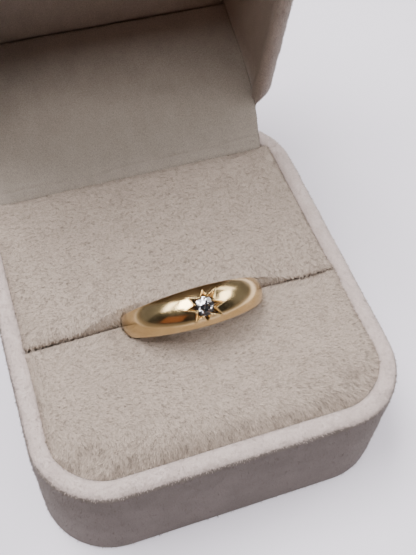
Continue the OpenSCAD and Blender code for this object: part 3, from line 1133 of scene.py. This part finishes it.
class RINGBOX_OT_ring(bpy.types.Operator):
    """Domed gold band with its cut star, seat and grains"""

    bl_idname = "ring_box.ring"
    bl_label = "Ring"

    # Rays of the star: direction in degrees from the band's run, and reach from the stone's middle, here and
    # below in millimetres
    RAYS = ((-2, 2.7), (44, 2.68), (82, 2.2), (139, 2.42), (178, 2.5), (227, 2.46), (269, 2.06), (321, 2.7))
    STONE = 1.275
    MOUTH = 0.95
    GRAIN = 0.19

    def star(self, x, y):
        """Depth of the cut star in millimetres at (x, y), and how far it lies in a cut, from 0 to 1. Each ray
        is two planes that meet in a line, from full depth at the stone to nothing at its tip, with a thin
        burr along both edges. Round grains stand between the rays, and a lip of metal follows the stone's
        crown round the seat's mouth."""
        r = settings().ring
        deep = r.ray_depth / MM
        root = 1.05
        wide = 0.56
        cut = np.zeros_like(x)
        burr = np.zeros_like(x)
        for angle, reach in self.RAYS:
            a = math.radians(angle)
            run = x * math.cos(a) + y * math.sin(a)
            off = np.abs(y * math.cos(a) - x * math.sin(a))
            edge = (reach - run) / (reach - root) - off / wide
            edge = np.where(run > 0.6, edge, -1)
            cut = np.maximum(cut, deep * np.clip(edge, 0, 1.15))
            burr = np.maximum(burr, 0.06 * bell(edge + 0.10, 0.12))
        out = np.hypot(x, y)
        domed = (r.outside - r.dome) / MM + np.sqrt((r.dome / MM) ** 2 - y ** 2)
        crown = r.outside / MM + 0.02 - (out - 0.57 * self.STONE) * math.tan(math.radians(34.5))
        lip = domed - crown - x ** 2 * MM / (2 * r.outside) - 0.05
        lip = lip * (1 - eased((out - 1.2) / 0.2))
        grains = np.zeros_like(x)
        angles = [angle for angle, reach in self.RAYS]
        for angle, after in zip(angles, angles[1:] + [angles[0] + 360]):
            a = math.radians((angle + after) / 2)
            far = np.hypot(x - 1.42 * math.cos(a), y - 1.42 * math.sin(a))
            grains = np.maximum(grains, np.sqrt(np.clip(self.GRAIN ** 2 - far ** 2, 0, None)))
        plain = lip - burr * (out > 1.3) - grains
        seat = 0.62 + (self.STONE - out) * 0.87
        depth = np.where(cut > 0.02, np.maximum(cut, lip), plain)
        depth = np.where(out < self.MOUTH, seat, depth)
        dents = 0.018 * lumps(np.stack([x, y, x * 0], -1), 0.75, 91) * bell(out - 1.9, 1.1)
        return depth + dents, np.where(out < self.MOUTH, 0.3, np.clip(cut / 0.25, 0, 1))

    def execute(self, context):
        r = settings().ring
        m = ring_matrix()
        fine = np.arange(-3.3, 3.3001, 0.045) * MM / r.outside
        rest = np.linspace(fine[-1], 2 * math.pi + fine[0], 94)[1:-1]
        phi = np.concatenate([fine, rest])
        half = half_width(r.outside * np.cos(phi))
        soft = r.edge
        inner = r.inner_edge
        last = (half - soft) / (1 - soft / r.dome)
        y = np.linspace(-1, 1, 130)[None] * last[:, None]
        dome = r.outside - r.dome + np.sqrt(r.dome ** 2 - y ** 2)
        x_mm = np.sin(phi)[:, None] * dome / MM
        near = (np.abs(x_mm) < 3.3) & (np.cos(phi)[:, None] > 0)
        plain = dome[:, -1]
        depth, cut = self.star(np.where(near, x_mm, 9), y / MM)
        dome = dome - np.where(near, depth, 0) * MM
        hole = -r.drop * np.cos(phi) + np.sqrt(r.finger ** 2 - (r.drop * np.sin(phi)) ** 2)
        lean = np.arcsin(last / r.dome)
        share = np.linspace(0, 1, 7)[1:]
        turn = lean[:, None] + (math.pi / 2 - lean[:, None]) * share
        out_y = (half - soft)[:, None] + soft * np.sin(turn)
        out_r = (plain - soft * np.cos(lean))[:, None] + soft * np.cos(turn)
        turn = arc(90, 180, 6)[None]
        in_y = (half - inner)[:, None] + inner * np.sin(turn)
        in_r = (hole + inner)[:, None] + inner * np.cos(turn)
        bore = -np.linspace(-1, 1, 12)[None, 1:-1] * (half - inner)[:, None]
        ys = np.concatenate([y, out_y, in_y, bore, -in_y[:, ::-1], -out_y[:, ::-1]], 1)
        rs = np.concatenate([
            dome, out_r, in_r, np.broadcast_to(hole[:, None], bore.shape), in_r[:, ::-1], out_r[:, ::-1]], 1)
        grid = to_box(np.stack([np.sin(phi)[:, None] * rs, ys, np.cos(phi)[:, None] * rs], -1), m)
        rows, columns, _ = grid.shape
        faces = hoop_faces(rows, columns, close_rows=True)[:, ::-1]
        band = put_mesh("gypsy_ring", grid.reshape(-1, 3), faces)
        dark = np.zeros((rows, columns))
        dark[:, :y.shape[1]] = np.where(near, cut, 0)
        mark_points(band, "cut", dark)
        dress(band, gold(), "yellow_gold", "base", "ring_band")
        return {"FINISHED"}


class RINGBOX_OT_hardware(bpy.types.Operator):
    """Finishes of the stone and the hinge rod"""

    bl_idname = "ring_box.hardware"
    bl_label = "Stone and Rod"

    def execute(self, context):
        for node, mat in (("stone", brilliant()), ("hinge_rod", steel())):
            obj = frame["nodes"][node]
            obj.data.materials.clear()
            obj.data.materials.append(mat)
        return {"FINISHED"}


class RINGBOX_OT_stage(bpy.types.Operator):
    """Camera, floor and lights"""

    bl_idname = "ring_box.stage"
    bl_label = "Stage"

    def execute(self, context):
        self.camera(context.scene)
        self.floor()
        self.sky(context.scene)
        for name, azimuth, height, across, tall, glow, colour in SOFT_BOXES:
            glow *= settings().stage.boxes
            self.soft_box(context.scene, name, azimuth, height, across, tall, glow, colour)
        return {"FINISHED"}

    def camera(self, scene):
        """The camera of the photograph."""
        s = settings().stage
        data = bpy.data.cameras.new("camera")
        data.lens = s.lens
        data.clip_start = 0.01
        camera = bpy.data.objects.new("camera", data)
        scene.collection.objects.link(camera)
        look = Vector(s.aim_at) - Vector(s.camera_at)
        turn = look.to_track_quat("-Z", "Y").to_matrix() @ Matrix.Rotation(s.roll, 3, "Z")
        camera.matrix_world = Matrix.Translation(Vector(s.camera_at)) @ turn.to_4x4()
        scene.camera = camera

    def floor(self):
        """Pale floor, painted dark beyond the picture's edges: painted shade of the room's unlit side, which
        the gold reflects.
        """
        size = 1.2
        corners = np.array([[-size, -size, 0], [size, -size, 0], [size, size, 0], [-size, size, 0]])
        floor = put_mesh("floor", corners, [0, 1, 2, 3])
        mat, tree, shader = material("floor_paper")
        soft = noise(tree, 40 * MM, detail=2.0)
        paper = ramp(tree, soft, [(0.3, (0.80, 0.77, 0.875)), (0.7, (0.83, 0.80, 0.905))])
        # Painted shade: the floor turns dark from 110 to 190 mm from a point behind the box.
        far = measured(tree, "DISTANCE", object_place(tree), (45 * MM, 60 * MM, 0))
        beyond = ranged(tree, far, 0.110, 0.19, ease=True)
        tree.links.new(mixed(tree, beyond, paper, (0.10, 0.085, 0.075)), shader.inputs["Base Color"])
        given(shader, {"Roughness": 0.8})
        floor.data.materials.append(mat)

    def sky(self, scene):
        """Light from the room, weak on its unlit side."""
        s = settings().stage
        world = bpy.data.worlds.new("sky")
        world.use_nodes = True
        tree = world.node_tree
        back = given(tree.nodes["Background"], {"Color": (0.96, 0.96, 1.0, 1)})
        way = tree.nodes.new("ShaderNodeTexCoord").outputs["Generated"]
        facing = measured(tree, "DOT_PRODUCT", way, s.dark_side)
        tree.links.new(ranged(tree, facing, 0.27, 0.42, s.sky, s.sky_front, True), back.inputs["Strength"])
        scene.world = world

    def soft_box(self, scene, name, azimuth, height, across, tall, glow, colour):
        """A soft box nearly a metre from the ring, at an azimuth from the back and a height in degrees, as
        wide and tall as the angles given, of the given brightness."""
        away = 0.9
        a = math.radians(azimuth)
        e = math.radians(height)
        light = bpy.data.lights.new(name, "AREA")
        light.shape = "RECTANGLE"
        light.size = 2 * away * math.tan(math.radians(across / 2))
        light.size_y = 2 * away * math.tan(math.radians(tall / 2))
        light.energy = glow * math.pi * light.size * light.size_y
        light.color = colour
        box = bpy.data.objects.new(name, light)
        scene.collection.objects.link(box)
        way = Vector((math.sin(a) * math.cos(e), math.cos(a) * math.cos(e), math.sin(e)))
        turn = way.to_track_quat("Z", "Y").to_matrix().to_4x4()
        box.matrix_world = Matrix.Translation(way * away + Vector((0, 0, 20 * MM))) @ turn


class RINGBOX_PT_panel(bpy.types.Panel):
    """Steps that build the ring box"""

    bl_label = "Ring Box"
    bl_idname = "RINGBOX_PT_panel"
    bl_space_type = "VIEW_3D"
    bl_region_type = "UI"
    bl_category = "Ring Box"

    def draw(self, context):
        for step in STEPS:
            self.layout.operator(step.bl_idname)


STEPS = (
    RINGBOX_OT_stage, RINGBOX_OT_base, RINGBOX_OT_pads, RINGBOX_OT_lid, RINGBOX_OT_flap, RINGBOX_OT_ring,
    RINGBOX_OT_hardware)
CLASSES = (
    BoxSettings, PadSettings, RingSettings, VelvetSettings, StageSettings, RingBoxSettings, *STEPS,
    RINGBOX_PT_panel)


def register():
    for cls in CLASSES:
        bpy.utils.register_class(cls)
    bpy.types.Scene.ring_box = bpy.props.PointerProperty(type=RingBoxSettings)


def unregister():
    del bpy.types.Scene.ring_box
    for cls in reversed(CLASSES):
        bpy.utils.unregister_class(cls)


def main():
    register()
    bpy.ops.ring_box.stage()
    bpy.ops.ring_box.base()
    bpy.ops.ring_box.pads()
    bpy.ops.ring_box.lid()
    bpy.ops.ring_box.flap()
    bpy.ops.ring_box.ring()
    bpy.ops.ring_box.hardware()


if __name__ == "__main__":
    main()
